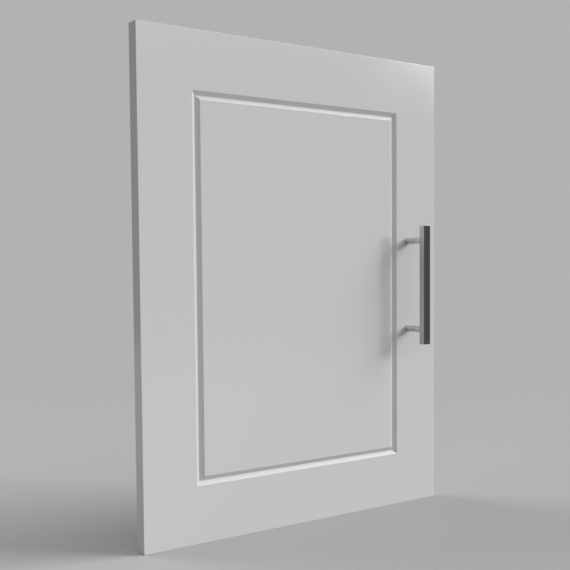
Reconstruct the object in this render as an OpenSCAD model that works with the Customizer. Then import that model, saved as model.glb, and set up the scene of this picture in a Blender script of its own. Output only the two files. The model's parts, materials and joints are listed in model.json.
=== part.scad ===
// Grooved slab door for a kitchen cabinet, with a straight bar handle on two round posts.
// Millimetres. The origin is the middle of the door's bottom edge, and the front faces -Y.

/* [Door] */
// Width of the door
door_width = 450; // [400:1:600]
// Height of the door
door_height = 600; // [480:1:900]
// Thickness of the board
board_thickness = 18; // [16:0.5:25]
// Rounding of the door's outer edges
door_edge_radius = 0.5; // [0.3:0.1:2]

/* [Groove] */
// Distance from the door's edges to the outer edge of the groove
groove_inset = 69.5; // [58:0.5:90]
// Width of the groove on the face
groove_width = 10.5; // [6:0.1:14]
// Depth of the groove at its valley
groove_depth = 4; // [2:0.1:5]

/* [Hinge bores] */
// Diameter of each hinge cup bore
cup_diameter = 35; // [26:0.5:40]
// Depth of each hinge cup bore
cup_depth = 12.5; // [10:0.1:13.5]
// Board left between a cup bore and the hinge edge of the door
cup_edge_margin = 5; // [3:0.5:8]
// Distance from the door's top and bottom edges to the cup centres
cup_end_distance = 100; // [70:1:150]
// Distance between the pilot holes beside a cup
pilot_spacing = 45; // [42:0.5:52]
// Distance from the cup centre to the line of its pilot holes
pilot_offset = 9.5; // [5.5:0.1:12]
// Diameter of each pilot hole
pilot_diameter = 2.5; // [2:0.1:5]
// Depth of each pilot hole
pilot_depth = 10; // [6:0.5:13]

/* [Handle] */
// Width of the bar, across the door
bar_width = 11; // [9.5:0.1:16]
// Depth of the bar, out from the door
bar_depth = 8.6; // [8:0.1:16]
// Rounding of the bar's edges
bar_edge_radius = 0.2; // [0.1:0.1:1]
// Distance from the door's handle edge to the middle of the bar
bar_edge_distance = 50.5; // [30:0.5:51.5]
// Height of the middle of the bar above the door's bottom edge
bar_centre_height = 300; // [120:1:360]
// Clear gap for the fingers between the door and the bar
finger_gap = 30.5; // [24:0.5:45]
// Length of the bar past the centre of each post
bar_overhang = 19.5; // [8:0.5:40]

/* [Posts] */
// Diameter of each post
post_diameter = 9; // [7:0.1:9.2]
// Distance between the posts' centres
post_spacing = 119; // [60:1:192]
// Chamfer at each end of a post
post_chamfer = 0.3; // [0.1:0.1:0.8]

/* [Fasteners] */
// Thread diameter of the screws and studs
thread_diameter = 4; // [3:0.1:4.5]
// Length of a screw's thread inside its post
screw_grip = 7; // [5:0.5:9]
// Diameter of a screw head
head_diameter = 8; // [7:0.1:10]
// Height of a screw head
head_height = 3.1; // [2.4:0.1:4]
// Height of the dome on a screw head
head_crown = 1.4; // [0.5:0.1:1.8]
// Depth of the cross recess in a screw head
recess_depth = 1.8; // [0.8:0.1:2]
// Width across the cross recess
recess_span = 4.4; // [3:0.1:5]
// Width of each slot of the cross recess
recess_slot = 1.1; // [0.8:0.1:1.4]
// Length of a stud inside its post
stud_grip_in_post = 7; // [4:0.5:8]
// Length of a stud inside the bar
stud_grip_in_bar = 5; // [3:0.5:6]
// Size across the flats of a stud's hexagon socket
stud_socket_flats = 2; // [1.3:0.1:2.2]
// Depth of a stud's hexagon socket
stud_socket_depth = 2.5; // [1.5:0.1:3]
// Chamfer at the thread ends
thread_chamfer = 0.5; // [0.3:0.1:0.8]

/* [Clearances] */
// Gap all round a screw in its hole through the door
screw_hole_clearance = 0.5; // [0.2:0.05:1]
// Gap all round a thread in its tapped hole
thread_clearance = 0.05; // [0.02:0.01:0.1]
// Tapped depth left past the end of a screw or stud
tap_runout = 1; // [0.5:0.1:1.8]

/* [Hidden] */
$fn = 72;

front_face = -board_thickness / 2;
back_face = board_thickness / 2;
hinge_edge = -door_width / 2;
handle_edge = door_width / 2;

cup_centre_x = hinge_edge + cup_edge_margin + cup_diameter / 2;
cup_heights = [cup_end_distance, door_height - cup_end_distance];
pilot_x = cup_centre_x + pilot_offset;

bar_x = handle_edge - bar_edge_distance;
bar_back = front_face - finger_gap;
bar_length = post_spacing + 2 * bar_overhang;
upper_post_height = bar_centre_height + post_spacing / 2;
lower_post_height = bar_centre_height - post_spacing / 2;

screw_tip = front_face - screw_grip;
stud_inner_end = bar_back + stud_grip_in_post;
stud_outer_end = bar_back - stud_grip_in_bar;
tapped_diameter = thread_diameter + 2 * thread_clearance;
screw_hole_diameter = thread_diameter + 2 * screw_hole_clearance;

// How far a cutting tool starts outside the face that it cuts
overcut = 1;

// Rectangle about its own middle, with round corners
module eased_rectangle(width, height, radius) {
    square([width - 2 * radius, height], center = true);
    square([width, height - 2 * radius], center = true);
    for (x = [-1, 1], y = [-1, 1])
        translate([x * (width / 2 - radius), y * (height / 2 - radius)])
            circle(r = radius);
}

// Block about its own middle, with round edges
module eased_block(width, depth, height, radius) {
    intersection() {
        linear_extrude(height, center = true)
            eased_rectangle(width, depth, radius);
        rotate([90, 0, 0])
            linear_extrude(depth, center = true)
                eased_rectangle(width, height, radius);
        rotate([90, 0, 90])
            linear_extrude(width, center = true)
                eased_rectangle(depth, height, radius);
    }
}

// Moves what is drawn upwards so that it runs along +Y, at one of the posts
module at_post(post_height) {
    translate([bar_x, 0, post_height])
        rotate([-90, 0, 0])
            children();
}

// Rod from one height to another, with a chamfer at each end
module chamfered_rod(from, to, diameter, chamfer) {
    radius = diameter / 2;
    rotate_extrude()
        polygon([
            [0, from], [radius - chamfer, from], [radius, from + chamfer],
            [radius, to - chamfer], [radius - chamfer, to], [0, to]
        ]);
}

// Plain round hole from one height to another
module round_hole(from, to, diameter) {
    translate([0, 0, from])
        cylinder(d = diameter, h = to - from);
}

// Half the width of a groove outline, for its outer slope (-1) or its inner slope (1),
// at a depth under the front face
function slope_reach(side_length, slope, depth) =
    side_length / 2 - groove_inset - (slope > 0 ? groove_width : 0)
    + slope * depth * (groove_width / 2) / groove_depth;

// Trapezoid across the door, between two depths under the front face
module slope_section(side_length, slope, from, to) {
    near = slope_reach(side_length, slope, from);
    far = slope_reach(side_length, slope, to);
    polygon([
        [-near, front_face + from], [near, front_face + from],
        [far, front_face + to], [-far, front_face + to]
    ]);
}

// Four-sided block with sloped, mitred sides, inside one slope of the groove
module slope_block(slope, from, to) {
    translate([0, 0, door_height / 2])
        intersection() {
            linear_extrude(door_height, center = true)
                slope_section(door_width, slope, from, to);
            rotate([90, 0, 90])
                linear_extrude(door_width, center = true)
                    mirror([1, -1])
                        slope_section(door_height, slope, from, to);
        }
}

// V groove all round the face, with mitred corners
module groove_ring() {
    difference() {
        slope_block(-1, -overcut, groove_depth);
        slope_block(1, -2 * overcut, groove_depth + overcut);
    }
}

// Blind bores in the back for one hinge: the cup and its two pilot holes
module hinge_bores(centre_height) {
    translate([cup_centre_x, 0, centre_height])
        rotate([-90, 0, 0])
            round_hole(back_face - cup_depth, back_face + overcut, cup_diameter);
    for (side = [-1, 1])
        translate([pilot_x, 0, centre_height + side * pilot_spacing / 2])
            rotate([-90, 0, 0])
                round_hole(back_face - pilot_depth, back_face + overcut, pilot_diameter);
}

module door_panel() {
    color([0.78, 0.78, 0.77])
        difference() {
            translate([0, 0, door_height / 2])
                eased_block(door_width, board_thickness, door_height, door_edge_radius);
            groove_ring();
            for (centre_height = cup_heights)
                hinge_bores(centre_height);
            for (post_height = [lower_post_height, upper_post_height])
                at_post(post_height)
                    round_hole(front_face - overcut, back_face + overcut, screw_hole_diameter);
        }
}

module handle_bar() {
    color([0.62, 0.63, 0.64])
        difference() {
            translate([bar_x, bar_back - bar_depth / 2, bar_centre_height])
                eased_block(bar_width, bar_depth, bar_length, bar_edge_radius);
            for (post_height = [lower_post_height, upper_post_height])
                at_post(post_height)
                    round_hole(stud_outer_end - tap_runout, bar_back + overcut, tapped_diameter);
        }
}

module handle_post(post_height) {
    color([0.7, 0.71, 0.72])
        at_post(post_height)
            difference() {
                chamfered_rod(bar_back, front_face, post_diameter, post_chamfer);
                round_hole(screw_tip - tap_runout, front_face + overcut, tapped_diameter);
                round_hole(bar_back - overcut, stud_inner_end + tap_runout, tapped_diameter);
            }
}

// Headless screw that joins a post to the bar
module post_stud(post_height) {
    color([0.45, 0.46, 0.48])
        at_post(post_height)
            difference() {
                chamfered_rod(stud_outer_end, stud_inner_end, thread_diameter, thread_chamfer);
                translate([0, 0, stud_inner_end - stud_socket_depth])
                    cylinder(d = stud_socket_flats / cos(30), h = stud_socket_depth + overcut, $fn = 6);
            }
}

// Cross-shaped recess that narrows towards its bottom
module cross_recess(top) {
    intersection() {
        translate([0, 0, top - recess_depth])
            cylinder(d1 = recess_slot, d2 = recess_span, h = recess_depth);
        for (angle = [0, 90])
            rotate([0, 0, angle])
                translate([0, 0, top - recess_depth / 2])
                    cube([recess_span, recess_slot, recess_depth], center = true);
    }
}

// Pan-head screw, driven from the back of the door into a post
module handle_screw(post_height) {
    head_radius = head_diameter / 2;
    dome_radius = (head_radius * head_radius + head_crown * head_crown) / (2 * head_crown);
    head_top = back_face + head_height;
    color([0.72, 0.71, 0.66])
        at_post(post_height)
            difference() {
                union() {
                    chamfered_rod(screw_tip, back_face + head_height / 2, thread_diameter, thread_chamfer);
                    intersection() {
                        round_hole(back_face, head_top, head_diameter);
                        translate([0, 0, head_top - dome_radius])
                            sphere(r = dome_radius);
                    }
                }
                cross_recess(head_top);
            }
}

door_panel();
handle_bar();
handle_post(upper_post_height);  // handle_post_upper
handle_post(lower_post_height);  // handle_post_lower
post_stud(upper_post_height);  // post_stud_upper
post_stud(lower_post_height);  // post_stud_lower
handle_screw(upper_post_height);  // handle_screw_upper
handle_screw(lower_post_height);  // handle_screw_lower
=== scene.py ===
import json
import math

import bpy
from mathutils import Euler, Matrix, Vector


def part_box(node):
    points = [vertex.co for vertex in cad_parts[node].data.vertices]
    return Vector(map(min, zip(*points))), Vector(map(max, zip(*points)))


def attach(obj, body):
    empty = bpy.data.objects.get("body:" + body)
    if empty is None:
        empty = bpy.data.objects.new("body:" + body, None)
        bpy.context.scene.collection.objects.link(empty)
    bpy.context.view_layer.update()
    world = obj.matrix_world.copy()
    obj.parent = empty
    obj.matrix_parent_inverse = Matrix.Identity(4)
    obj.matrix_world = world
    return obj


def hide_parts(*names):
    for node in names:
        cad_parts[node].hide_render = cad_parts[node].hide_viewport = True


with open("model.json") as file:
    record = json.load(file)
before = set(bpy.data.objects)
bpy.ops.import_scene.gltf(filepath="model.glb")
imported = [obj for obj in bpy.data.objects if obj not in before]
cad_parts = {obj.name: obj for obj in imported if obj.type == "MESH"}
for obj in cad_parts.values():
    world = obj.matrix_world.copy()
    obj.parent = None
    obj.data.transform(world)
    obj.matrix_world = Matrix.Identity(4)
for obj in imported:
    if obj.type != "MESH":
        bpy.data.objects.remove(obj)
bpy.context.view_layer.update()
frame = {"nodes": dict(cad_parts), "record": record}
print("door frame loaded:", len(frame["nodes"]), "nodes")

mm = 0.001
bpy.context.scene.view_settings.view_transform = "Standard"


# one node with its settings; each input takes a value, or an output to link from
def addNode(tree, kind, inputs=None, **settings):
    made = tree.nodes.new(kind)
    for key, value in settings.items():
        setattr(made, key, value)
    for key, value in (inputs or {}).items():
        if isinstance(value, bpy.types.NodeSocket):
            tree.links.new(value, made.inputs[key])
        else:
            made.inputs[key].default_value = value
    return made.outputs


# sRGB hex to the linear colour that the sockets take
def linear(hexColour):
    parts = [int(hexColour[i:i + 2], 16) / 255 for i in (1, 3, 5)]
    parts = [c / 12.92 if c <= 0.04045 else ((c + 0.055) / 1.055) ** 2.4 for c in parts]
    return (*parts, 1)


def newMaterial(name):
    material = bpy.data.materials.new(name)
    material.use_nodes = True
    material.node_tree.nodes.clear()
    return material, material.node_tree


# camera, solved from the door's edges and grooves in the photo
cameraFit = {
    "location": (-0.6636, -0.9356, 0.3287),
    "yaw": 34.43, "pitch": -3.065, "roll": -0.469,  # degrees
    "focalPixels": 905.3, "picture": 570, "centreRow": 313.28,
    "sensor": 36,  # mm
    "reach": 50,  # metres; the camera draws nothing farther off
}


def makeCamera(fit):
    yaw, pitch, roll = (math.radians(fit[k]) for k in ("yaw", "pitch", "roll"))
    forward = Vector((math.sin(yaw) * math.cos(pitch), math.cos(yaw) * math.cos(pitch), math.sin(pitch)))
    right = forward.cross(Vector((0, 0, 1))).normalized()
    up = right.cross(forward)
    x = math.cos(roll) * right + math.sin(roll) * up
    y = -math.sin(roll) * right + math.cos(roll) * up
    data = bpy.data.cameras.new("camera")
    data.sensor_width = fit["sensor"]
    data.lens = fit["focalPixels"] / fit["picture"] * fit["sensor"]
    data.shift_y = (fit["centreRow"] - fit["picture"] / 2) / fit["picture"]
    data.clip_end = fit["reach"]
    camera = bpy.data.objects.new("camera", data)
    turned = Matrix((x, y, -forward)).transposed().to_4x4()
    camera.matrix_world = Matrix.Translation(fit["location"]) @ turned
    bpy.context.scene.collection.objects.link(camera)
    bpy.context.scene.camera = camera


makeCamera(cameraFit)
print("camera placed")

# lamps: azimuth counts from the door's front towards its handle side, in degrees
lamps = {
    "keyCore": {"azimuth": 47.5, "elevation": 18, "spread": 9.7, "level": 0.287},
    "keyWide": {"azimuth": 53.8, "elevation": 21.3, "spread": 28.9, "level": 0.165},
    "keyHigh": {"azimuth": 68, "elevation": 40.6, "spread": 27.5, "level": 0.549},
    "backLeft": {"azimuth": -147, "elevation": 50, "spread": 30, "level": 0.313},
}


def addLamp(name, azimuth, elevation, spread, level):
    a, e = math.radians(azimuth), math.radians(elevation)
    towards = Vector((math.sin(a) * math.cos(e), -math.cos(a) * math.cos(e), math.sin(e)))
    data = bpy.data.lights.new(name, "SUN")
    data.energy = level * math.pi
    data.angle = math.radians(spread)
    lamp = bpy.data.objects.new(name, data)
    lamp.rotation_euler = towards.to_track_quat("Z", "Y").to_euler()
    lamp.location = towards * 2  # only to keep it apart from the door; a sun shines from anywhere
    bpy.context.scene.collection.objects.link(lamp)


for name, values in lamps.items():
    addLamp(name, **values)

# studio walls and ceiling, as light only: a bright band in front of the door at middle height,
# a ceiling that brightens overhead, and a low horizon that the metal mirrors as dark
studio = {
    "horizon": 0.095, "horizonFade": (0.15, 0.32),  # heights here are sines of the elevation
    "overhead": 0.66, "overheadPower": 4.0,
    "front": 2.67, "left": 0.32, "bandRise": (0.2, 0.36), "bandFall": (0.45, 0.8),
    "bandTurn": 25,  # degrees from straight in front towards the handle side
    "seen": "#B2B2B2",  # what the camera itself sees past the backdrop, from any side
}


def makeStudio(s):
    world = bpy.data.worlds.new("studio")
    bpy.context.scene.world = world
    world.use_nodes = True
    tree = world.node_tree
    tree.nodes.clear()
    direction = addNode(tree, "ShaderNodeTexCoord")["Generated"]
    height = addNode(tree, "ShaderNodeSeparateXYZ", {0: direction})["Z"]
    turn = math.radians(s["bandTurn"])
    towards = (math.sin(turn) * s["front"], -math.cos(turn) * s["front"], 0)
    facing = addNode(tree, "ShaderNodeVectorMath", {0: direction, 1: towards},
                     operation="DOT_PRODUCT")["Value"]
    facing = addNode(tree, "ShaderNodeMath", {0: facing, 1: 0.0}, operation="MAXIMUM")[0]
    left = addNode(tree, "ShaderNodeVectorMath", {0: direction, 1: (-s["left"], 0, 0)},
                   operation="DOT_PRODUCT")["Value"]
    left = addNode(tree, "ShaderNodeMath", {0: left, 1: 0.0}, operation="MAXIMUM")[0]
    facing = addNode(tree, "ShaderNodeMath", {0: facing, 1: left}, operation="ADD")[0]
    rise = addNode(tree, "ShaderNodeMapRange", {"Value": height, "From Min": s["bandRise"][0],
                   "From Max": s["bandRise"][1]}, interpolation_type="SMOOTHSTEP")[0]
    fall = addNode(tree, "ShaderNodeMapRange", {"Value": height, "From Min": s["bandFall"][0],
                   "From Max": s["bandFall"][1], "To Min": 1.0, "To Max": 0.0},
                   interpolation_type="SMOOTHSTEP")[0]
    band = addNode(tree, "ShaderNodeMath", {0: rise, 1: fall}, operation="MULTIPLY")[0]
    up = addNode(tree, "ShaderNodeMath", {0: height, 1: 0.0}, operation="MAXIMUM")[0]
    up = addNode(tree, "ShaderNodeMath", {0: up, 1: s["overheadPower"]}, operation="POWER")[0]
    low = addNode(tree, "ShaderNodeMapRange", {"Value": height, "From Min": s["horizonFade"][0],
                  "From Max": s["horizonFade"][1], "To Min": s["horizon"], "To Max": 0.0},
                  interpolation_type="SMOOTHSTEP")[0]
    level = addNode(tree, "ShaderNodeMath", {0: up, 1: s["overhead"], 2: low}, operation="MULTIPLY_ADD")[0]
    level = addNode(tree, "ShaderNodeMath", {0: facing, 1: band, 2: level}, operation="MULTIPLY_ADD")[0]
    light = addNode(tree, "ShaderNodeBackground", {"Color": level})[0]
    seen = addNode(tree, "ShaderNodeBackground", {"Color": linear(s["seen"])})[0]
    looking = addNode(tree, "ShaderNodeLightPath")["Is Camera Ray"]
    light = addNode(tree, "ShaderNodeMixShader", {0: looking, 1: light, 2: seen})[0]
    addNode(tree, "ShaderNodeOutputWorld", {"Surface": light})


makeStudio(studio)
print("light set:", len(lamps), "lamps and the studio")

# floor and backdrop: one sheet of pale grey paper in the picture
paper = {
    "backdrop": "#B2B2B2", "backdropDrift": (0.997, 1.003),
    "floorFrontPaintedShade": 0.358, "floorBehindPaintedLight": 0.37, "turnFrom": -0.12, "turnTo": 0.15,  # greys, and metres; painted shade in front of the door and painted light behind it
    "floorLeftPaintedLight": 1.045, "floorRightPaintedShade": 0.96, "floorSide": 0.8,  # shares of them this far to each side; painted light towards the left and painted shade towards the right
    "fadeFrom": 0.85, "fadeTo": 1.6,  # metres; past this the floor glows as the backdrop does
    "radius": 3.0, "wallTop": 2.4, "wallArc": (-15, 75), "wallStep": 5,  # metres and degrees
    "floorArc": 100, "floorSteps": 48,  # degrees to each side of straight behind the door
    "frontRight": (1.65, -1.65), "frontLeft": (-3.0, -3.0),  # the floor's corners in front, in metres
    "grainDrift": (0.99, 1.01),
    "grain": 6, "cloud": 500,  # mm; real paper grain is finer than a pixel, so it is drawn coarser
}


def paperMaterials(p):
    glowing, tree = newMaterial("backdrop_lit_paper")  # even grey, as a lit paper roll far behind the door
    place = addNode(tree, "ShaderNodeTexCoord")["Object"]
    cloud = addNode(tree, "ShaderNodeTexNoise", {"Vector": place, "Scale": 1 / (p["cloud"] * mm),
                    "Detail": 2.0})[0]
    level = addNode(tree, "ShaderNodeMapRange", {"Value": cloud, "To Min": p["backdropDrift"][0],
                    "To Max": p["backdropDrift"][1]})[0]
    glow = addNode(tree, "ShaderNodeEmission", {"Color": linear(p["backdrop"]), "Strength": level})[0]
    addNode(tree, "ShaderNodeOutputMaterial", {"Surface": glow})

    matt, tree = newMaterial("floor_matt_paper")  # soft shadows, no gloss, a trace of paper grain, and painted light and shade graded across it
    place = addNode(tree, "ShaderNodeTexCoord")["Object"]
    reach = addNode(tree, "ShaderNodeVectorMath", {0: place}, operation="LENGTH")["Value"]
    fade = addNode(tree, "ShaderNodeMapRange", {"Value": reach, "From Min": p["fadeFrom"],
                   "From Max": p["fadeTo"]})[0]
    apart = addNode(tree, "ShaderNodeSeparateXYZ", {0: place})
    # painted light and shade: the floor's grey steps from darker in front of the door to lighter behind it
    shade = addNode(tree, "ShaderNodeMapRange", {"Value": apart["Y"], "From Min": p["turnFrom"],
                    "From Max": p["turnTo"], "To Min": p["floorFrontPaintedShade"], "To Max": p["floorBehindPaintedLight"]},
                    interpolation_type="SMOOTHSTEP")[0]
    grain = addNode(tree, "ShaderNodeTexNoise", {"Vector": place, "Scale": 1 / (p["grain"] * mm),
                    "Detail": 3.0})[0]
    grain = addNode(tree, "ShaderNodeMapRange", {"Value": grain, "To Min": p["grainDrift"][0],
                    "To Max": p["grainDrift"][1]})[0]
    shade = addNode(tree, "ShaderNodeMath", {0: shade, 1: grain}, operation="MULTIPLY")[0]
    # painted light and shade: the floor's grey is lighter towards the left and darker towards the right
    paintedSideGrade = addNode(tree, "ShaderNodeMapRange", {"Value": apart["X"], "From Min": -p["floorSide"],
                     "From Max": p["floorSide"], "To Min": p["floorLeftPaintedLight"], "To Max": p["floorRightPaintedShade"]})[0]
    shade = addNode(tree, "ShaderNodeMath", {0: shade, 1: paintedSideGrade}, operation="MULTIPLY")[0]
    dull = addNode(tree, "ShaderNodeBsdfDiffuse", {"Color": shade})[0]
    glow = addNode(tree, "ShaderNodeEmission", {"Color": linear(p["backdrop"])})[0]
    both = addNode(tree, "ShaderNodeMixShader", {0: fade, 1: dull, 2: glow})[0]
    addNode(tree, "ShaderNodeOutputMaterial", {"Surface": both})
    return glowing, matt


def makeStage(p):
    glowing, matt = paperMaterials(p)
    arc, steps = p["floorArc"], p["floorSteps"]
    full = [math.radians(-arc + 2 * arc * i / steps) for i in range(steps + 1)]
    shown = [math.radians(a) for a in range(p["wallArc"][0], p["wallArc"][1] + 1, p["wallStep"])]
    rim = [(p["radius"] * math.sin(a), p["radius"] * math.cos(a)) for a in full]
    base = [(p["radius"] * math.sin(a), p["radius"] * math.cos(a)) for a in shown]
    count = len(base)
    wallCorners = [(x, y, 0) for x, y in base] + [(x, y, p["wallTop"]) for x, y in base]
    wallFaces = [(i + 1, i, count + i, count + i + 1) for i in range(count - 1)]
    floorCorners = [(x, y, 0) for x, y in rim]
    floorCorners += [(*p["frontRight"], 0), (*p["frontLeft"], 0)]
    floorFaces = [tuple(reversed(range(len(floorCorners))))]
    sheets = {"backdrop": (wallCorners, wallFaces, glowing), "floor": (floorCorners, floorFaces, matt)}
    for name, (corners, faces, material) in sheets.items():
        mesh = bpy.data.meshes.new(name)
        mesh.from_pydata(corners, [], faces)
        mesh.materials.append(material)
        sheet = bpy.data.objects.new(name, mesh)
        bpy.context.scene.collection.objects.link(sheet)


makeStage(paper)
print("floor and backdrop laid")

# door finish: sprayed lacquer, mirror-like at a low angle, over fibreboard that shows only in the bores
lacquer = {
    "paint": "#C1C1BF", "paintDark": "#C0C0BE", "roughness": (0.095, 0.12),
    "grooveRoughness": 0.5,  # the routed slopes drink the lacquer and stay duller than the face
    "cloud": 110, "peelSize": 2.5, "peelDepth": 0.0004,  # mm; drifts of the spray, and its faint ripple
    "board": "#C4AB86", "boardDark": "#9A7F5A", "boardRoughness": 0.85, "fibre": 1.2,  # mm
    "coat": 0.3, "boardFrom": 4.2,  # mm under the outer faces, and behind the front; board starts past both
    "routedFrom": 0.01, "routedFull": 0.1, "routedTo": 4.3,  # mm behind the front, where it is duller
}
noiseSpan = (0.3, 0.7)  # nearly all of a noise texture's values lie between these


def lacquerMaterial(p, low, high):
    material, tree = newMaterial("sprayed_lacquer_on_fibreboard")
    place = addNode(tree, "ShaderNodeTexCoord")["Object"]
    cloud = addNode(tree, "ShaderNodeTexNoise", {"Vector": place, "Scale": 1 / (p["cloud"] * mm),
                    "Detail": 3.0})[0]
    coat = addNode(tree, "ShaderNodeMix", {0: cloud, 6: linear(p["paintDark"]), 7: linear(p["paint"])},
                   data_type="RGBA")[2]
    gloss = addNode(tree, "ShaderNodeMapRange", {"Value": cloud, "From Min": noiseSpan[0],
                    "From Max": noiseSpan[1], "To Min": p["roughness"][0], "To Max": p["roughness"][1]})[0]
    ripple = addNode(tree, "ShaderNodeTexNoise", {"Vector": place, "Scale": 1 / (p["peelSize"] * mm),
                     "Detail": 1.0})[0]
    relief = addNode(tree, "ShaderNodeBump", {"Height": ripple, "Strength": 1.0,
                     "Distance": p["peelDepth"] * mm})[0]
    fibre = addNode(tree, "ShaderNodeTexNoise", {"Vector": place, "Scale": 1 / (p["fibre"] * mm),
                    "Detail": 5.0, "Roughness": 0.7})[0]
    board = addNode(tree, "ShaderNodeMix", {0: fibre, 6: linear(p["boardDark"]), 7: linear(p["board"])},
                    data_type="RGBA")[2]

    # where a point lies: how deep under the outer faces, and how far behind the front one
    middle, half = (low + high) / 2, (high - low) / 2
    away = addNode(tree, "ShaderNodeVectorMath", {0: place, 1: tuple(middle)}, operation="SUBTRACT")[0]
    away = addNode(tree, "ShaderNodeVectorMath", {0: away}, operation="ABSOLUTE")[0]
    core = tuple(side - p["coat"] * mm for side in half)
    depth = addNode(tree, "ShaderNodeVectorMath", {0: core, 1: away}, operation="SUBTRACT")[0]
    depth = addNode(tree, "ShaderNodeSeparateXYZ", {0: depth})
    behind = addNode(tree, "ShaderNodeSeparateXYZ", {0: place})["Y"]
    behind = addNode(tree, "ShaderNodeMath", {0: behind, 1: low.y}, operation="SUBTRACT")[0]

    # the groove: clear of the door's edges, from just behind the front face down to the valley
    routed = addNode(tree, "ShaderNodeMapRange", {"Value": behind, "From Min": p["routedFrom"] * mm,
                     "From Max": p["routedFull"] * mm})[0]
    shallow = addNode(tree, "ShaderNodeMath", {0: behind, 1: p["routedTo"] * mm}, operation="LESS_THAN")[0]
    onFace = addNode(tree, "ShaderNodeMath", {0: depth["X"], 1: depth["Z"]}, operation="MINIMUM")[0]
    onFace = addNode(tree, "ShaderNodeMath", {0: onFace, 1: 0.0}, operation="GREATER_THAN")[0]
    routed = addNode(tree, "ShaderNodeMath", {0: routed, 1: shallow}, operation="MULTIPLY")[0]
    routed = addNode(tree, "ShaderNodeMath", {0: routed, 1: onFace}, operation="MULTIPLY")[0]
    gloss = addNode(tree, "ShaderNodeMapRange", {"Value": routed, "To Min": gloss,
                    "To Max": p["grooveRoughness"]})[0]

    # bare board: past the groove's valley and under every outer face, so only inside the bores
    past = addNode(tree, "ShaderNodeMath", {0: behind, 1: p["boardFrom"] * mm}, operation="SUBTRACT")[0]
    inside = addNode(tree, "ShaderNodeMath", {0: depth["X"], 1: depth["Y"]}, operation="MINIMUM")[0]
    inside = addNode(tree, "ShaderNodeMath", {0: inside, 1: depth["Z"]}, operation="MINIMUM")[0]
    inside = addNode(tree, "ShaderNodeMath", {0: inside, 1: past}, operation="MINIMUM")[0]
    inside = addNode(tree, "ShaderNodeMath", {0: inside, 1: 0.0}, operation="GREATER_THAN")[0]
    colour = addNode(tree, "ShaderNodeMix", {0: inside, 6: coat, 7: board}, data_type="RGBA")[2]
    rough = addNode(tree, "ShaderNodeMapRange", {"Value": inside, "To Min": gloss,
                    "To Max": p["boardRoughness"]})[0]
    skin = addNode(tree, "ShaderNodeBsdfPrincipled", {"Base Color": colour, "Roughness": rough,
                   "Normal": relief})[0]
    addNode(tree, "ShaderNodeOutputMaterial", {"Surface": skin})
    return material


# metal finishes: tone, roughness and the direction in which each was worked
plate = {
    "light": "#CDCDCE", "dark": "#C6C6C7", "roughness": (0.05, 0.08),
    "line": (0.5, 0.5, 9.0), "depth": 0.0002,  # mm; a belt's scratches are finer, drawn wide enough to show
}
zinc = {
    "light": "#C9CBC6", "dark": "#A9ABA4", "roughness": (0.22, 0.38),
    "line": (0.9, 0.9, 0.9), "depth": 0.002,  # mm
}
steel = {
    "light": "#8C8D8E", "dark": "#6B6A69", "roughness": (0.3, 0.5),
    "line": (0.6, 0.6, 0.6), "depth": 0.002,  # mm
}


# noise whose cells are line millimetres long each way; it tones the metal, its roughness and its relief
def metalMaterial(name, p):
    material, tree = newMaterial(name)
    place = addNode(tree, "ShaderNodeTexCoord")["Object"]
    stretch = tuple(1 / (cell * mm) for cell in p["line"])
    place = addNode(tree, "ShaderNodeMapping", {"Vector": place, "Scale": stretch})[0]
    work = addNode(tree, "ShaderNodeTexNoise", {"Vector": place, "Scale": 1.0, "Detail": 4.0})[0]
    tone = addNode(tree, "ShaderNodeMix", {0: work, 6: linear(p["dark"]), 7: linear(p["light"])},
                   data_type="RGBA")[2]
    gloss = addNode(tree, "ShaderNodeMapRange", {"Value": work, "From Min": noiseSpan[0],
                    "From Max": noiseSpan[1], "To Min": p["roughness"][0], "To Max": p["roughness"][1]})[0]
    relief = addNode(tree, "ShaderNodeBump", {"Height": work, "Strength": 1.0,
                     "Distance": p["depth"] * mm})[0]
    skin = addNode(tree, "ShaderNodeBsdfPrincipled", {"Base Color": tone, "Metallic": 1.0,
                   "Roughness": gloss, "Normal": relief})[0]
    addNode(tree, "ShaderNodeOutputMaterial", {"Surface": skin})
    return material


doorLow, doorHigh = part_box("door_panel")
lacquered = lacquerMaterial(lacquer, doorLow, doorHigh)
plated = metalMaterial("polished_plated_steel", plate)  # bright, with the faint lines of the polishing belt
zincPlated = metalMaterial("bright_zinc_plating", zinc)  # paler and duller, slightly mottled
plainSteel = metalMaterial("plain_rolled_steel", steel)  # grey, as the thread roller leaves it
print("finishes made")

for name in ("handle_post_upper", "handle_post_lower"):
    for place in frame["nodes"][name].material_slots:
        place.material = plated


# a node tree whose inputs are the sizes by name; counts are whole numbers, the rest millimetres
def newTree(name, sizes):
    tree = bpy.data.node_groups.new(name, "GeometryNodeTree")
    for key, value in sizes.items():
        kind = "NodeSocketInt" if isinstance(value, int) else "NodeSocketFloat"
        tree.interface.new_socket(key, in_out="INPUT", socket_type=kind)
    tree.interface.new_socket("piece", in_out="OUTPUT", socket_type="NodeSocketGeometry")
    return tree, addNode(tree, "NodeGroupInput")


crispBend = 34  # degrees; faces that meet at more than this keep a crisp arris
weld = 0.001  # mm; points closer than this are one


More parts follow.
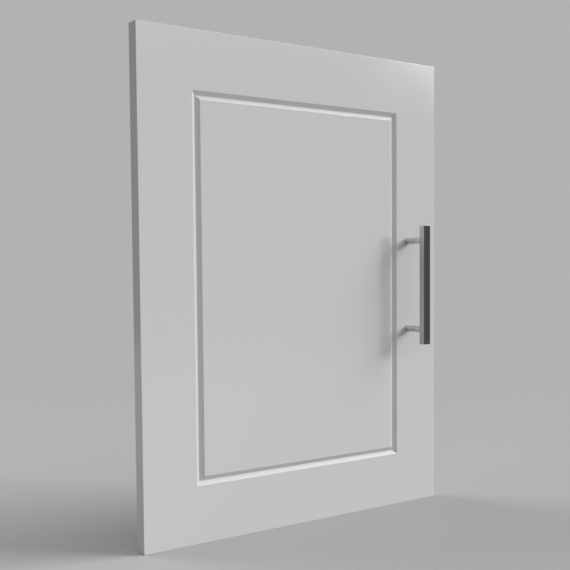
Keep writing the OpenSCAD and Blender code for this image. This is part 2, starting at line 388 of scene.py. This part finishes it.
# ends a tree: smooth faces with crisp arrises, metres, one plain mesh with its material
def closeTree(tree, shape, material):
    shape = addNode(tree, "GeometryNodeRealizeInstances", {0: shape})[0]
    shape = addNode(tree, "GeometryNodeSetShadeSmooth", {0: shape})[0]
    bend = addNode(tree, "GeometryNodeInputMeshEdgeAngle")["Unsigned Angle"]
    crisp = addNode(tree, "ShaderNodeMath", {0: bend, 1: math.radians(crispBend)},
                    operation="GREATER_THAN")[0]
    shape = addNode(tree, "GeometryNodeSetShadeSmooth", {0: shape, 1: crisp, 2: False}, domain="EDGE")[0]
    shape = addNode(tree, "GeometryNodeTransform", {0: shape, "Scale": (mm, mm, mm)})[0]
    shape = addNode(tree, "GeometryNodeRealizeInstances", {0: shape})[0]
    shape = addNode(tree, "GeometryNodeSetMaterial", {0: shape, "Material": material})[0]
    addNode(tree, "NodeGroupOutput", {0: shape})


# runs a tree once with its sizes and keeps the plain mesh
def shapePiece(name, tree, sizes, material, replaced):
    piece = bpy.data.objects.new(name, bpy.data.meshes.new(name + "_seed"))
    shaping = piece.modifiers.new("shape", "NODES")
    shaping.node_group = tree
    for item in tree.interface.items_tree:
        if item.in_out == "INPUT":
            shaping[item.identifier] = sizes[item.name]
    evening = piece.modifiers.new("even shading", "WEIGHTED_NORMAL")
    evening.keep_sharp = True
    bpy.context.scene.collection.objects.link(piece)
    solid = bpy.data.meshes.new_from_object(piece.evaluated_get(bpy.context.evaluated_depsgraph_get()))
    piece.modifiers.clear()
    piece.data = solid
    solid.name = name
    solid.materials.clear()
    solid.materials.append(material)
    solid.polygons.foreach_set("material_index", [0] * len(solid.polygons))
    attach(piece, "root")
    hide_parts(*replaced)
    print(name, "shaped:", len(solid.polygons), "faces")


# door slab: one outline swept round a rounded rectangle, then drilled; millimetres
slab = {
    "edge round": 0.5, "edge steps": 4,
    "groove inset": 69.5, "groove width": 10.5, "groove depth": 4.0,
    "arris round": 0.25, "valley round": 0.4,  # the router's worn point and the paint soften the V
    "overcut": 1.0,  # how far outside the board each drill starts
}
bores = {
    "cup": {"sides": 96},
    "lower pilot": {"deep": 10.0, "sides": 24},
    "upper pilot": {"deep": 10.0, "sides": 24},
    "screw hole": {"radius": 2.5, "deep": 19.0, "sides": 32},  # deep enough to leave the front face
}


# a pair of drills: its x, the height of the lower one and the step up to the other
def pairPlaces(x, lowest, spacing):
    return {"x": x / mm, "lowest": lowest / mm, "spacing": spacing / mm}


# the hinge bores lie where the record's mounts say, and the screw holes on the posts' axes
mounts = {mount["name"]: mount for mount in frame["record"]["mounts"]}
lowerCup, upperCup = mounts["hinge_cup_lower"], mounts["hinge_cup_upper"]
bores["cup"]["radius"] = float(lowerCup["dims"]["r_mm"])
bores["cup"]["deep"] = float(lowerCup["dims"]["length_mm"])
rise = upperCup["pos_m"][2] - lowerCup["pos_m"][2]
bores["cup"].update(pairPlaces(lowerCup["pos_m"][0], lowerCup["pos_m"][2], rise))
for end in ("lower", "upper"):
    pilots = mounts["hinge_pilots_" + end]
    bores[end + " pilot"]["radius"] = float(pilots["dims"]["hole_r_mm"])
    apart = pilots["dims"]["spacing_y_mm"] * mm
    bores[end + " pilot"].update(pairPlaces(pilots["pos_m"][0], pilots["pos_m"][2] - apart / 2, apart))
barLow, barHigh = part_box("handle_bar")
postLow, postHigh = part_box("handle_post_lower")
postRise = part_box("handle_post_upper")[0].z - postLow.z
postAxes = pairPlaces((barLow.x + barHigh.x) / 2, (postLow.z + postHigh.z) / 2, postRise)
bores["screw hole"].update(postAxes)


def slabTree(sizes, material):
    tree, given = newTree("door slab", sizes)
    index = addNode(tree, "GeometryNodeInputIndex")[0]

    # the outline: how far in from the door's edge, how far behind its face, how round the bend is
    half = addNode(tree, "ShaderNodeMath", {0: given["width"], 1: 0.5}, operation="MULTIPLY")[0]
    inner = addNode(tree, "ShaderNodeMath", {0: given["groove inset"], 1: given["groove width"]},
                    operation="ADD")[0]
    valley = addNode(tree, "ShaderNodeMath", {0: given["groove width"], 1: 0.5, 2: given["groove inset"]},
                     operation="MULTIPLY_ADD")[0]
    bends = [
        (half, 0.0, 0.0),
        (inner, 0.0, given["arris round"]),
        (valley, given["groove depth"], given["valley round"]),
        (given["groove inset"], 0.0, given["arris round"]),
        (0.0, 0.0, given["edge round"]),
        (0.0, given["thickness"], given["edge round"]),
        (half, given["thickness"], 0.0),
    ]
    chooser = tree.nodes.new("GeometryNodeIndexSwitch")
    chooser.data_type = "VECTOR"
    while len(chooser.index_switch_items) < len(bends):
        chooser.index_switch_items.new()
    tree.links.new(index, chooser.inputs[0])
    for i, bend in enumerate(bends):
        point = addNode(tree, "ShaderNodeCombineXYZ", dict(enumerate(bend)))[0]
        tree.links.new(point, chooser.inputs[i + 1])
    bend = addNode(tree, "ShaderNodeSeparateXYZ", {0: chooser.outputs[0]})
    spot = addNode(tree, "ShaderNodeCombineXYZ", {"X": bend["X"], "Y": bend["Y"]})[0]
    outline = addNode(tree, "GeometryNodeMeshLine", {"Count": len(bends)})[0]
    outline = addNode(tree, "GeometryNodeSetPosition", {0: outline, "Position": spot})[0]
    outline = addNode(tree, "GeometryNodeMeshToCurve", {0: outline})[0]
    outline = addNode(tree, "GeometryNodeFilletCurve", {0: outline, "Count": given["edge steps"],
                      "Radius": bend["Z"], "Limit Radius": True}, mode="POLY")[0]

    # the sweep: a grid with one row per outline point and one column per step round the door
    rows = addNode(tree, "GeometryNodeAttributeDomainSize", {0: outline}, component="CURVE")["Point Count"]
    turnSteps = addNode(tree, "FunctionNodeIntegerMath", {0: given["edge steps"], 1: 1}, operation="ADD")[0]
    columns = addNode(tree, "FunctionNodeIntegerMath", {0: turnSteps, 1: 4}, operation="MULTIPLY")[0]
    columns = addNode(tree, "FunctionNodeIntegerMath", {0: columns, 1: 1}, operation="ADD")[0]
    grid = addNode(tree, "GeometryNodeMeshGrid", {"Vertices X": columns, "Vertices Y": rows})[0]
    column = addNode(tree, "FunctionNodeIntegerMath", {0: index, 1: rows}, operation="DIVIDE_FLOOR")[0]
    row = addNode(tree, "FunctionNodeIntegerMath", {0: index, 1: rows}, operation="FLOORED_MODULO")[0]
    corner = addNode(tree, "FunctionNodeIntegerMath", {0: column, 1: turnSteps},
                     operation="DIVIDE_FLOOR")[0]
    step = addNode(tree, "FunctionNodeIntegerMath", {0: column, 1: turnSteps},
                   operation="FLOORED_MODULO")[0]
    share = addNode(tree, "ShaderNodeMath", {0: step, 1: given["edge steps"]}, operation="DIVIDE")[0]
    turn = addNode(tree, "ShaderNodeMath", {0: corner, 1: share}, operation="ADD")[0]
    turn = addNode(tree, "ShaderNodeMath", {0: turn, 1: math.pi / 2}, operation="MULTIPLY")[0]
    diagonal = addNode(tree, "ShaderNodeMath", {0: corner, 1: math.pi / 2, 2: math.pi / 4},
                       operation="MULTIPLY_ADD")[0]
    sideways = addNode(tree, "ShaderNodeMath", {0: diagonal}, operation="COSINE")[0]
    sideways = addNode(tree, "ShaderNodeMath", {0: sideways}, operation="SIGN")[0]
    upwards = addNode(tree, "ShaderNodeMath", {0: diagonal}, operation="SINE")[0]
    upwards = addNode(tree, "ShaderNodeMath", {0: upwards}, operation="SIGN")[0]
    here = addNode(tree, "GeometryNodeInputPosition")[0]
    spot = addNode(tree, "GeometryNodeSampleIndex", {0: outline, 1: here, 2: row},
                   data_type="FLOAT_VECTOR")[0]
    spot = addNode(tree, "ShaderNodeSeparateXYZ", {0: spot})
    inset = addNode(tree, "ShaderNodeMath", {0: spot["X"], 1: given["edge round"]}, operation="MAXIMUM")[0]
    radius = addNode(tree, "ShaderNodeMath", {0: given["edge round"], 1: spot["X"]},
                     operation="SUBTRACT")[0]
    radius = addNode(tree, "ShaderNodeMath", {0: radius, 1: 0.0}, operation="MAXIMUM")[0]
    x = addNode(tree, "ShaderNodeMath", {0: half, 1: inset}, operation="SUBTRACT")[0]
    x = addNode(tree, "ShaderNodeMath", {0: x, 1: sideways}, operation="MULTIPLY")[0]
    cosine = addNode(tree, "ShaderNodeMath", {0: turn}, operation="COSINE")[0]
    x = addNode(tree, "ShaderNodeMath", {0: radius, 1: cosine, 2: x}, operation="MULTIPLY_ADD")[0]
    halfHeight = addNode(tree, "ShaderNodeMath", {0: given["height"], 1: 0.5}, operation="MULTIPLY")[0]
    z = addNode(tree, "ShaderNodeMath", {0: halfHeight, 1: inset}, operation="SUBTRACT")[0]
    z = addNode(tree, "ShaderNodeMath", {0: z, 1: upwards, 2: halfHeight}, operation="MULTIPLY_ADD")[0]
    sine = addNode(tree, "ShaderNodeMath", {0: turn}, operation="SINE")[0]
    z = addNode(tree, "ShaderNodeMath", {0: radius, 1: sine, 2: z}, operation="MULTIPLY_ADD")[0]
    y = addNode(tree, "ShaderNodeMath", {0: given["thickness"], 1: -0.5, 2: spot["Y"]},
                operation="MULTIPLY_ADD")[0]
    spot = addNode(tree, "ShaderNodeCombineXYZ", {"X": x, "Y": y, "Z": z})[0]
    shape = addNode(tree, "GeometryNodeSetPosition", {0: grid, "Position": spot})[0]
    shape = addNode(tree, "GeometryNodeMergeByDistance", {0: shape, "Distance": weld})[0]

    # the bores, cut from the back by plain drills
    drilled = tree.nodes.new("GeometryNodeMeshBoolean")
    drilled.operation = "DIFFERENCE"
    drilled.solver = "EXACT"
    tree.links.new(shape, drilled.inputs["Mesh 1"])
    for kind in bores:
        length = addNode(tree, "ShaderNodeMath", {0: given[kind + " deep"], 1: given["overcut"]},
                         operation="ADD")[0]
        drill = addNode(tree, "GeometryNodeMeshCylinder", {"Vertices": given[kind + " sides"],
                        "Radius": given[kind + " radius"], "Depth": length})[0]
        y = addNode(tree, "ShaderNodeMath", {0: given["thickness"], 1: given[kind + " deep"]},
                    operation="SUBTRACT")[0]
        y = addNode(tree, "ShaderNodeMath", {0: y, 1: given["overcut"]}, operation="ADD")[0]
        y = addNode(tree, "ShaderNodeMath", {0: y, 1: 0.5}, operation="MULTIPLY")[0]
        first = addNode(tree, "ShaderNodeCombineXYZ", {"X": given[kind + " x"], "Y": y,
                        "Z": given[kind + " lowest"]})[0]
        pitch = addNode(tree, "ShaderNodeCombineXYZ", {"Z": given[kind + " spacing"]})[0]
        places = addNode(tree, "GeometryNodeMeshLine", {"Count": 2, "Start Location": first,
                         "Offset": pitch})[0]
        drills = addNode(tree, "GeometryNodeInstanceOnPoints", {"Points": places, "Instance": drill,
                         "Rotation": Euler((math.pi / 2, 0, 0))})[0]
        drills = addNode(tree, "GeometryNodeRealizeInstances", {0: drills})[0]
        tree.links.new(drills, drilled.inputs["Mesh 2"])
    closeTree(tree, drilled.outputs["Mesh"], material)
    return tree


size = (doorHigh - doorLow) / mm
slab.update({"width": size.x, "thickness": size.y, "height": size.z})
for kind, bore in bores.items():
    slab.update({kind + " " + key: value for key, value in bore.items()})
grooved = slabTree(slab, lacquered)
shapePiece("lacquered_door_slab", grooved, slab, lacquered, ["door_panel"])

# handle bar: a block with fine, even arrises and two tapped holes in its back; millimetres
bar = {
    "edge round": 0.04, "edge steps": 2,
    "tap radius": 2.05, "tap deep": 6.0, "tap sides": 32, "overcut": 1.0,
}


def barTree(sizes, material):
    tree, given = newTree("handle bar", sizes)

    # a unit cube whose outermost rows of points are wrapped round the arrises
    cuts = addNode(tree, "FunctionNodeIntegerMath", {0: given["edge steps"], 1: 2}, operation="MULTIPLY")[0]
    spans = addNode(tree, "FunctionNodeIntegerMath", {0: cuts, 1: 1}, operation="ADD")[0]
    points = addNode(tree, "FunctionNodeIntegerMath", {0: cuts, 1: 2}, operation="ADD")[0]
    cube = addNode(tree, "GeometryNodeMeshCube", {"Size": (1, 1, 1), "Vertices X": points,
                   "Vertices Y": points, "Vertices Z": points})[0]
    here = addNode(tree, "GeometryNodeInputPosition")[0]
    side = addNode(tree, "ShaderNodeVectorMath", {0: here}, operation="SIGN")[0]
    inwards = addNode(tree, "ShaderNodeVectorMath", {0: here}, operation="ABSOLUTE")[0]
    inwards = addNode(tree, "ShaderNodeVectorMath", {0: (0.5, 0.5, 0.5), 1: inwards},
                      operation="SUBTRACT")[0]
    inwards = addNode(tree, "ShaderNodeVectorMath", {0: inwards, "Scale": spans}, operation="SCALE")[0]
    inwards = addNode(tree, "ShaderNodeVectorMath", {0: inwards, 1: given["edge steps"]},
                      operation="MINIMUM")[0]
    inwards = addNode(tree, "ShaderNodeVectorMath", {0: inwards, 1: given["edge steps"]},
                      operation="DIVIDE")[0]
    outwards = addNode(tree, "ShaderNodeVectorMath", {0: (1, 1, 1), 1: inwards}, operation="SUBTRACT")[0]
    outwards = addNode(tree, "ShaderNodeVectorMath", {0: outwards, "Scale": math.pi / 4},
                       operation="SCALE")[0]
    outwards = addNode(tree, "ShaderNodeVectorMath", {0: outwards}, operation="TANGENT")[0]
    outwards = addNode(tree, "ShaderNodeVectorMath", {0: outwards, 1: side}, operation="MULTIPLY")[0]
    outwards = addNode(tree, "ShaderNodeVectorMath", {0: outwards}, operation="NORMALIZE")[0]
    outwards = addNode(tree, "ShaderNodeVectorMath", {0: outwards, "Scale": given["edge round"]},
                       operation="SCALE")[0]
    block = addNode(tree, "ShaderNodeCombineXYZ", {0: given["width"], 1: given["depth"],
                    2: given["length"]})[0]
    core = addNode(tree, "ShaderNodeVectorMath", {0: block, "Scale": 0.5}, operation="SCALE")[0]
    core = addNode(tree, "ShaderNodeVectorMath", {0: core, 1: given["edge round"]}, operation="SUBTRACT")[0]
    middle = addNode(tree, "ShaderNodeCombineXYZ", {0: given["x"], 1: given["y"], 2: given["z"]})[0]
    core = addNode(tree, "ShaderNodeVectorMath", {0: core, 1: side, 2: middle}, operation="MULTIPLY_ADD")[0]
    spot = addNode(tree, "ShaderNodeVectorMath", {0: core, 1: outwards}, operation="ADD")[0]
    shape = addNode(tree, "GeometryNodeSetPosition", {0: cube, "Position": spot})[0]

    # the tapped holes, drilled from behind the bar's back
    length = addNode(tree, "ShaderNodeMath", {0: given["tap deep"], 1: given["overcut"]},
                     operation="ADD")[0]
    drill = addNode(tree, "GeometryNodeMeshCylinder", {"Vertices": given["tap sides"],
                    "Radius": given["tap radius"], "Depth": length})[0]
    back = addNode(tree, "ShaderNodeMath", {0: given["depth"], 1: 0.5, 2: given["y"]},
                   operation="MULTIPLY_ADD")[0]
    y = addNode(tree, "ShaderNodeMath", {0: length, 1: -0.5, 2: given["overcut"]},
                operation="MULTIPLY_ADD")[0]
    y = addNode(tree, "ShaderNodeMath", {0: back, 1: y}, operation="ADD")[0]
    z = addNode(tree, "ShaderNodeMath", {0: given["spacing"], 1: -0.5, 2: given["z"]},
                operation="MULTIPLY_ADD")[0]
    first = addNode(tree, "ShaderNodeCombineXYZ", {0: given["x"], 1: y, 2: z})[0]
    pitch = addNode(tree, "ShaderNodeCombineXYZ", {"Z": given["spacing"]})[0]
    places = addNode(tree, "GeometryNodeMeshLine", {"Count": 2, "Start Location": first,
                     "Offset": pitch})[0]
    drills = addNode(tree, "GeometryNodeInstanceOnPoints", {"Points": places, "Instance": drill,
                     "Rotation": Euler((math.pi / 2, 0, 0))})[0]
    drills = addNode(tree, "GeometryNodeRealizeInstances", {0: drills})[0]
    tapped = tree.nodes.new("GeometryNodeMeshBoolean")
    tapped.operation = "DIFFERENCE"
    tapped.solver = "EXACT"
    tree.links.new(shape, tapped.inputs["Mesh 1"])
    tree.links.new(drills, tapped.inputs["Mesh 2"])
    closeTree(tree, tapped.outputs["Mesh"], material)
    return tree


size, middle = (barHigh - barLow) / mm, (barLow + barHigh) / 2 / mm
bar.update({"width": size.x, "depth": size.y, "length": size.z})
bar.update({"x": middle.x, "y": middle.y, "z": middle.z})
bar["spacing"] = postAxes["spacing"]
shapePiece("plated_handle_bar", barTree(bar, plated), bar, plated, ["handle_bar"])

# threaded pieces: along each one, from the tip; millimetres
screw = {
    "pitch": 0.7, "thread radius": 2.0, "thread depth": 0.43, "tip chamfer": 0.5, "end chamfer": 0.0,
    "crest": 0.12, "root": 0.8,  # where a flank starts and ends, as shares of half a pitch
    "rows per turn": 8, "sides": 24, "head radius": 4.0, "head steps": 12, "head squareness": 2.6,
    "slots": 2, "slot length": 4.4, "slot width": 1.1, "slot depth": 1.8, "slot taper": 0.35, "flats": 0.0,
}
stud = dict(screw)
stud.update({
    "end chamfer": 0.5, "head radius": 0.0, "head steps": 1,
    "slots": 0, "slot depth": 2.5, "flats": 2.0,  # no cross, but a hexagon socket
})


def threadedTree(name, sizes, material):
    tree, given = newTree(name, sizes)
    index = addNode(tree, "GeometryNodeInputIndex")[0]

    # a grid wound round the axis; its rows follow the helix, so each crest is one clean line
    turns = addNode(tree, "ShaderNodeMath", {0: given["shank"], 1: given["pitch"]}, operation="DIVIDE")[0]
    threadRows = addNode(tree, "ShaderNodeMath", {0: turns, 1: given["rows per turn"],
                         2: given["rows per turn"]}, operation="MULTIPLY_ADD")[0]
    threadRows = addNode(tree, "FunctionNodeFloatToInt", {0: threadRows}, rounding_mode="CEILING")[0]
    threadRows = addNode(tree, "FunctionNodeIntegerMath", {0: threadRows, 1: 2}, operation="ADD")[0]
    rows = addNode(tree, "FunctionNodeIntegerMath", {0: threadRows, 1: given["head steps"]},
                   operation="ADD")[0]
    rows = addNode(tree, "FunctionNodeIntegerMath", {0: rows, 1: 1}, operation="ADD")[0]
    columns = addNode(tree, "FunctionNodeIntegerMath", {0: given["sides"], 1: 1}, operation="ADD")[0]
    grid = addNode(tree, "GeometryNodeMeshGrid", {"Vertices X": columns, "Vertices Y": rows})[0]
    column = addNode(tree, "FunctionNodeIntegerMath", {0: index, 1: rows}, operation="DIVIDE_FLOOR")[0]
    row = addNode(tree, "FunctionNodeIntegerMath", {0: index, 1: rows}, operation="FLOORED_MODULO")[0]
    around = addNode(tree, "ShaderNodeMath", {0: column, 1: given["sides"]}, operation="DIVIDE")[0]
    turn = addNode(tree, "ShaderNodeMath", {0: around, 1: 2 * math.pi}, operation="MULTIPLY")[0]

    # the thread: a V between the root and a narrow crest, cut off square at both ends
    z = addNode(tree, "FunctionNodeIntegerMath", {0: row, 1: 1}, operation="SUBTRACT")[0]
    z = addNode(tree, "ShaderNodeMath", {0: z, 1: given["rows per turn"]}, operation="DIVIDE")[0]
    z = addNode(tree, "ShaderNodeMath", {0: z, 1: 1.0}, operation="SUBTRACT")[0]
    z = addNode(tree, "ShaderNodeMath", {0: z, 1: around}, operation="ADD")[0]
    z = addNode(tree, "ShaderNodeMath", {0: z, 1: given["pitch"]}, operation="MULTIPLY")[0]
    z = addNode(tree, "ShaderNodeClamp", {0: z, 1: 0.0, 2: given["shank"]})[0]
    phase = addNode(tree, "ShaderNodeMath", {0: z, 1: given["pitch"]}, operation="DIVIDE")[0]
    phase = addNode(tree, "ShaderNodeMath", {0: phase, 1: around}, operation="SUBTRACT")[0]
    phase = addNode(tree, "ShaderNodeMath", {0: phase}, operation="FRACT")[0]
    flank = addNode(tree, "ShaderNodeMath", {0: phase, 1: 2.0, 2: -1.0}, operation="MULTIPLY_ADD")[0]
    flank = addNode(tree, "ShaderNodeMath", {0: flank}, operation="ABSOLUTE")[0]
    flank = addNode(tree, "ShaderNodeMapRange", {"Value": flank, "From Min": given["crest"],
                    "From Max": given["root"]})[0]
    radius = addNode(tree, "ShaderNodeMath", {0: flank, 1: given["thread depth"]}, operation="MULTIPLY")[0]
    radius = addNode(tree, "ShaderNodeMath", {0: given["thread radius"], 1: radius},
                     operation="SUBTRACT")[0]
    start = addNode(tree, "ShaderNodeMath", {0: given["thread radius"], 1: given["tip chamfer"]},
                    operation="SUBTRACT")[0]
    start = addNode(tree, "ShaderNodeMath", {0: start, 1: z}, operation="ADD")[0]
    left = addNode(tree, "ShaderNodeMath", {0: given["shank"], 1: z}, operation="SUBTRACT")[0]
    end = addNode(tree, "ShaderNodeMath", {0: given["thread radius"], 1: given["end chamfer"]},
                  operation="SUBTRACT")[0]
    end = addNode(tree, "ShaderNodeMath", {0: end, 1: left}, operation="ADD")[0]
    radius = addNode(tree, "ShaderNodeMath", {0: radius, 1: start}, operation="MINIMUM")[0]
    radius = addNode(tree, "ShaderNodeMath", {0: radius, 1: end}, operation="MINIMUM")[0]
    pastTip = addNode(tree, "ShaderNodeMath", {0: row, 1: 0.5}, operation="GREATER_THAN")[0]
    radius = addNode(tree, "ShaderNodeMath", {0: radius, 1: pastTip}, operation="MULTIPLY")[0]
    thread = addNode(tree, "ShaderNodeCombineXYZ", {"X": radius, "Z": z})[0]

    # the pan head: a squarish dome from its underside to the pole; a stud has none, so it closes flat
    rise = addNode(tree, "FunctionNodeIntegerMath", {0: row, 1: threadRows}, operation="SUBTRACT")[0]
    rise = addNode(tree, "ShaderNodeMath", {0: rise, 1: given["head steps"]}, operation="DIVIDE")[0]
    rise = addNode(tree, "ShaderNodeMath", {0: rise, 1: math.pi / 2}, operation="MULTIPLY")[0]
    power = addNode(tree, "ShaderNodeMath", {0: 2.0, 1: given["head squareness"]}, operation="DIVIDE")[0]
    out = addNode(tree, "ShaderNodeMath", {0: rise}, operation="COSINE")[0]
    out = addNode(tree, "ShaderNodeMath", {0: out, 1: power}, operation="POWER")[0]
    out = addNode(tree, "ShaderNodeMath", {0: out, 1: given["head radius"]}, operation="MULTIPLY")[0]
    lift = addNode(tree, "ShaderNodeMath", {0: rise}, operation="SINE")[0]
    lift = addNode(tree, "ShaderNodeMath", {0: lift, 1: power}, operation="POWER")[0]
    lift = addNode(tree, "ShaderNodeMath", {0: lift, 1: given["head height"], 2: given["shank"]},
                   operation="MULTIPLY_ADD")[0]
    dome = addNode(tree, "ShaderNodeCombineXYZ", {"X": out, "Z": lift})[0]

    onShank = addNode(tree, "FunctionNodeCompare", {2: row, 3: threadRows}, data_type="INT",
                      operation="LESS_THAN")[0]
    spot = addNode(tree, "GeometryNodeSwitch", {0: onShank, 1: dome, 2: thread}, input_type="VECTOR")[0]
    spot = addNode(tree, "ShaderNodeVectorRotate", {"Vector": spot, "Angle": turn},
                   rotation_type="Z_AXIS")[0]
    shape = addNode(tree, "GeometryNodeSetPosition", {0: grid, "Position": spot})[0]
    shape = addNode(tree, "GeometryNodeMergeByDistance", {0: shape, "Distance": weld})[0]

    # the recess: two tapered slots make a cross; without slots it is a hexagon socket.
    # a cutter's middle lies on the head's top, so it is twice as tall as it cuts
    deep = addNode(tree, "ShaderNodeMath", {0: given["slot depth"], 1: 2.0}, operation="MULTIPLY")[0]
    block = addNode(tree, "ShaderNodeCombineXYZ", {"X": given["slot length"], "Y": given["slot width"],
                    "Z": deep})[0]
    cutter = addNode(tree, "GeometryNodeMeshCube", {"Size": block})[0]
    here = addNode(tree, "GeometryNodeInputPosition")[0]
    apart = addNode(tree, "ShaderNodeSeparateXYZ", {0: here})
    below = addNode(tree, "ShaderNodeMath", {0: apart["Z"], 1: 0.0}, operation="LESS_THAN")[0]
    wide = addNode(tree, "ShaderNodeMath", {0: 2.0, 1: given["slot taper"]}, operation="SUBTRACT")[0]
    scale = addNode(tree, "ShaderNodeMapRange", {"Value": below, "To Min": wide,
                    "To Max": given["slot taper"]})[0]
    x = addNode(tree, "ShaderNodeMath", {0: apart["X"], 1: scale}, operation="MULTIPLY")[0]
    here = addNode(tree, "ShaderNodeCombineXYZ", {"X": x, "Y": apart["Y"], "Z": apart["Z"]})[0]
    cutter = addNode(tree, "GeometryNodeSetPosition", {0: cutter, "Position": here})[0]
    top = addNode(tree, "ShaderNodeMath", {0: given["shank"], 1: given["head height"]}, operation="ADD")[0]
    top = addNode(tree, "ShaderNodeCombineXYZ", {"Z": top})[0]
    places = addNode(tree, "GeometryNodeMeshLine", {"Count": given["slots"], "Start Location": top,
                     "Offset": (0, 0, 0)})[0]
    fan = addNode(tree, "ShaderNodeMath", {0: index, 1: math.pi}, operation="MULTIPLY")[0]
    fan = addNode(tree, "ShaderNodeMath", {0: fan, 1: given["slots"]}, operation="DIVIDE")[0]
    fan = addNode(tree, "ShaderNodeCombineXYZ", {"Z": fan})[0]
    fan = addNode(tree, "FunctionNodeEulerToRotation", {0: fan})[0]
    cutters = addNode(tree, "GeometryNodeInstanceOnPoints", {"Points": places, "Instance": cutter,
                      "Rotation": fan})[0]
    corners = addNode(tree, "ShaderNodeMath", {0: given["flats"], 1: math.sqrt(3)}, operation="DIVIDE")[0]
    socket = addNode(tree, "GeometryNodeMeshCylinder", {"Vertices": 6, "Radius": corners, "Depth": deep})[0]
    socket = addNode(tree, "GeometryNodeTransform", {0: socket, "Translation": top})[0]
    crossed = addNode(tree, "ShaderNodeMath", {0: given["slots"], 1: 0.5}, operation="GREATER_THAN")[0]
    cutters = addNode(tree, "GeometryNodeSwitch", {0: crossed, 1: socket, 2: cutters},
                      input_type="GEOMETRY")[0]
    cutters = addNode(tree, "GeometryNodeRealizeInstances", {0: cutters})[0]
    driven = tree.nodes.new("GeometryNodeMeshBoolean")
    driven.operation = "DIFFERENCE"
    driven.solver = "EXACT"
    driven.inputs["Self Intersection"].default_value = True
    tree.links.new(shape, driven.inputs["Mesh 1"])
    tree.links.new(cutters, driven.inputs["Mesh 2"])

    # one on each post's axis
    first = addNode(tree, "ShaderNodeCombineXYZ", {"X": given["x"], "Y": given["tip y"],
                    "Z": given["lowest"]})[0]
    pitch = addNode(tree, "ShaderNodeCombineXYZ", {"Z": given["spacing"]})[0]
    places = addNode(tree, "GeometryNodeMeshLine", {"Count": 2, "Start Location": first,
                     "Offset": pitch})[0]
    both = addNode(tree, "GeometryNodeInstanceOnPoints", {"Points": places,
                   "Instance": driven.outputs["Mesh"], "Rotation": Euler((-math.pi / 2, 0, 0))})[0]
    closeTree(tree, both, material)
    return tree


# where a pair lies, in millimetres: on the posts' axes, from its own node's tip to its shank's end
def axisSizes(node, shankEnd):
    tip, top = (corner.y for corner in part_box(node))
    along = {"tip y": tip / mm, "shank": (shankEnd - tip) / mm, "head height": (top - shankEnd) / mm}
    return {**postAxes, **along}


screw.update(axisSizes("handle_screw_lower", doorHigh.y))
stud.update(axisSizes("post_stud_lower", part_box("post_stud_lower")[1].y))
screwTree = threadedTree("pan head screw", screw, zincPlated)
shapePiece("pan_head_screws", screwTree, screw, zincPlated,
           ["handle_screw_upper", "handle_screw_lower"])
studTree = threadedTree("socket stud", stud, plainSteel)
shapePiece("socket_studs", studTree, stud, plainSteel, ["post_stud_upper", "post_stud_lower"])
